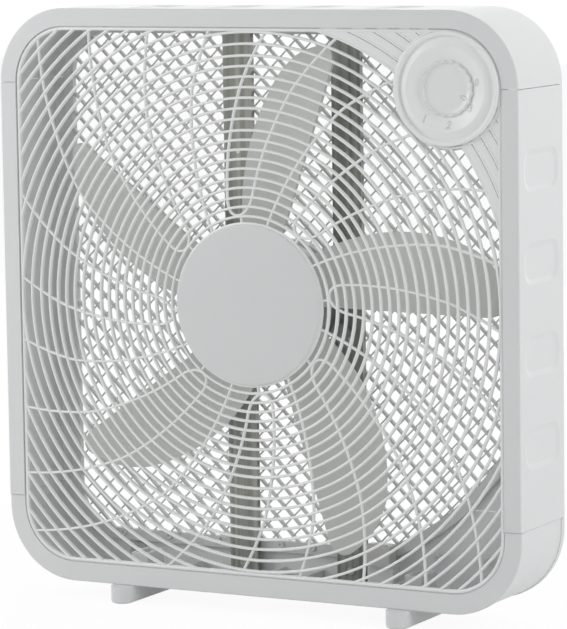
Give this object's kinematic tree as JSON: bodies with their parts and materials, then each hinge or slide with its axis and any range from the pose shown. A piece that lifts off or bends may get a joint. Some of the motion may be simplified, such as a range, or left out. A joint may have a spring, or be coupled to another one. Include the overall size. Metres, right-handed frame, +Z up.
{
  "type": "box fan",
  "caption": "Free-standing box fan with a rounded square case, ringed front grille, plain hub disc, bladed rotor, rear lattice, speed knob and feet.",
  "frame": {"origin": "on the floor, midway between the feet, below the rotor axis and midway between front and back", "axes": "+Z up, +X to the right of a viewer who faces the front grille, the front grille faces -Y"},
  "size_m": [0.524, 0.115, 0.546],
  "materials": {
    "case_plastic": "satin light grey moulding",
    "grille_plastic": "satin light grey moulding",
    "disc_plastic": "satin grey moulding",
    "dial_plastic": "satin light grey moulding",
    "knob_plastic": "smooth grey moulding",
    "blade_plastic": "smooth warm grey moulding",
    "switch_plastic": "dark moulding",
    "strut_steel": "galvanised sheet",
    "screw_steel": "zinc plated",
    "shaft_steel": "ground",
    "motor_metal": "cast, dull",
    "core_steel": "stacked sheets",
    "winding_copper": "varnished copper wire",
    "bearing_bronze": "sintered bronze",
    "capacitor_plastic": "pale grey moulding",
    "gland_rubber": "soft pale grey"
  },
  "bodies": {
    "case": {"top_cover": "case_plastic", "bottom_base": "case_plastic", "left_side_panel": "case_plastic", "right_side_panel": "case_plastic", "front_grille": "grille_plastic", "hub_disc": "disc_plastic", "dial_dish": "dial_plastic", "rotary_switch": "switch_plastic", "switch_nut": "screw_steel", "rear_grille": "grille_plastic", "rear_grille_screws": "screw_steel", "left_strut": "strut_steel", "right_strut": "strut_steel", "strut_screws": "screw_steel", "motor_front_bell": "motor_metal", "motor_rear_bell": "motor_metal", "motor_screws": "screw_steel", "stator_core": "core_steel", "stator_winding": "winding_copper", "front_bearing": "bearing_bronze", "rear_bearing": "bearing_bronze", "left_foot": "case_plastic", "right_foot": "case_plastic", "run_capacitor": "capacitor_plastic", "cord_gland": "gland_rubber"},
    "rotor": {"motor_shaft": "shaft_steel", "rotor_core": "core_steel", "impeller": "blade_plastic", "impeller_nut": "screw_steel"},
    "knob": {"control_knob": "knob_plastic", "switch_shaft": "shaft_steel"}
  },
  "joints": [
    {"name": "rotor_spin", "type": "hinge", "parent": "case", "child": "rotor", "pos_m": [0, 0, 0.2825], "axis": [0, -1, 0], "continuous": true},
    {"name": "knob_turn", "type": "hinge", "parent": "case", "child": "knob", "pos_m": [0.194, 0, 0.478], "axis": [0, -1, 0], "range_deg": [-90, 45]}
  ]
}
